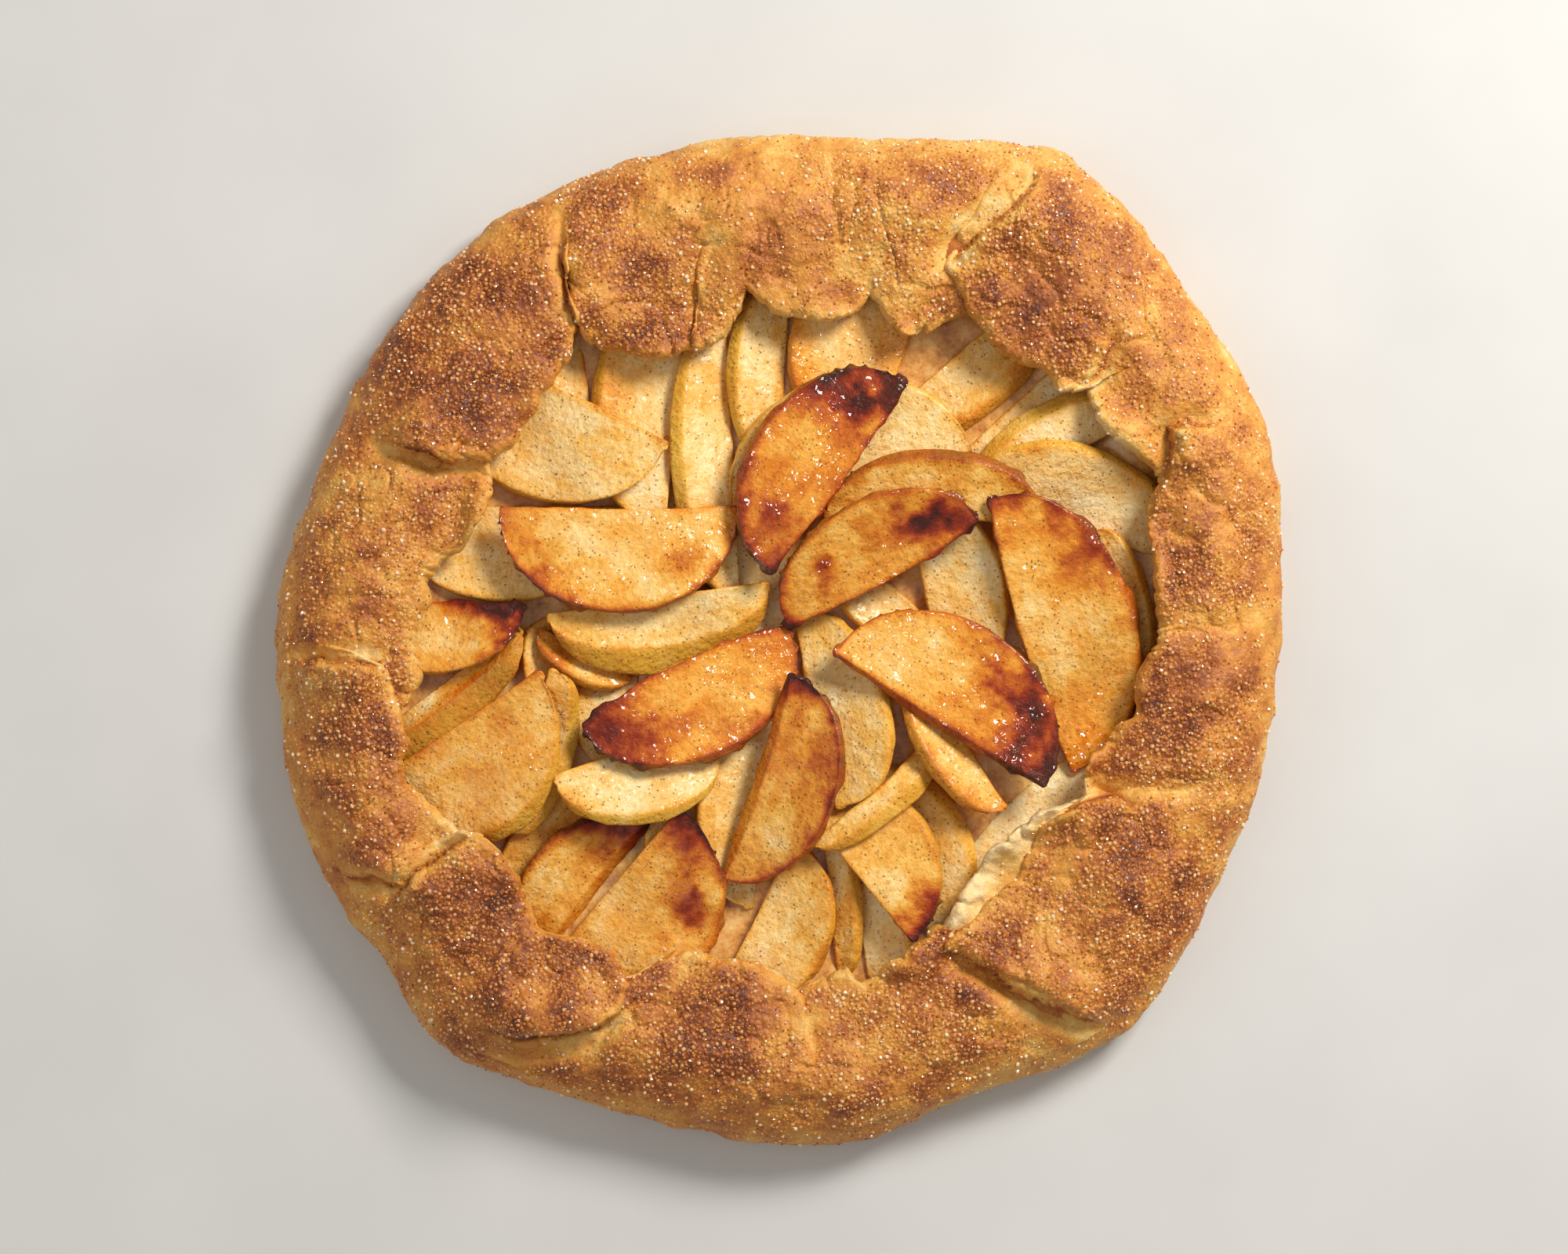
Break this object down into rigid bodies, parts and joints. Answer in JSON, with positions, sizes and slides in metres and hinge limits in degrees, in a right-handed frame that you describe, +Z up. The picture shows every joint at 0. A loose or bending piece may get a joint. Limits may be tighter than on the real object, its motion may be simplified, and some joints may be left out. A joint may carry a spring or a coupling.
{
  "type": "galette",
  "caption": "Rustic apple galette: a round free-form pastry crust folded over a bed of overlapping baked apple slices, with coarse sugar on the crust.",
  "frame": {"origin": "centre of the flat underside of the crust", "axes": "+Z up out of the filling, +X to the right and +Y to the far side as the galette is seen from above"},
  "size_m": [0.2586, 0.26, 0.0294],
  "materials": {
    "baked_pastry": "baked shortcrust, golden with brown folds, coarse sugar on top, satin where sugared",
    "baked_apple": "baked apple flesh, moist and glossy, dark caramelised edges and tips",
    "apple_bed": "soft apple and syrup under the slices, wet"
  },
  "bodies": {
    "root": {"crust": "baked_pastry", "apple_bed": "apple_bed", "apple_slice_01": "baked_apple", "apple_slice_02": "baked_apple", "apple_slice_03": "baked_apple", "apple_slice_04": "baked_apple", "apple_slice_05": "baked_apple", "apple_slice_06": "baked_apple", "apple_slice_07": "baked_apple", "apple_slice_08": "baked_apple", "apple_slice_09": "baked_apple", "apple_slice_10": "baked_apple", "apple_slice_11": "baked_apple", "apple_slice_12": "baked_apple", "apple_slice_13": "baked_apple", "apple_slice_14": "baked_apple", "apple_slice_15": "baked_apple", "apple_slice_16": "baked_apple", "apple_slice_17": "baked_apple", "apple_slice_18": "baked_apple", "apple_slice_19": "baked_apple", "apple_slice_20": "baked_apple", "apple_slice_21": "baked_apple", "apple_slice_22": "baked_apple", "apple_slice_23": "baked_apple", "apple_slice_24": "baked_apple", "apple_slice_25": "baked_apple", "apple_slice_26": "baked_apple", "apple_slice_27": "baked_apple", "apple_slice_28": "baked_apple", "apple_slice_29": "baked_apple", "apple_slice_30": "baked_apple", "apple_slice_31": "baked_apple", "apple_slice_32": "baked_apple", "apple_slice_33": "baked_apple", "apple_slice_34": "baked_apple", "apple_slice_35": "baked_apple", "apple_slice_36": "baked_apple", "apple_slice_37": "baked_apple", "apple_slice_38": "baked_apple", "apple_slice_39": "baked_apple", "apple_slice_40": "baked_apple", "apple_slice_41": "baked_apple", "apple_slice_42": "baked_apple", "apple_slice_43": "baked_apple", "apple_slice_44": "baked_apple", "apple_slice_45": "baked_apple", "apple_slice_46": "baked_apple", "apple_slice_47": "baked_apple", "apple_slice_48": "baked_apple"}
  },
  "joints": []
}
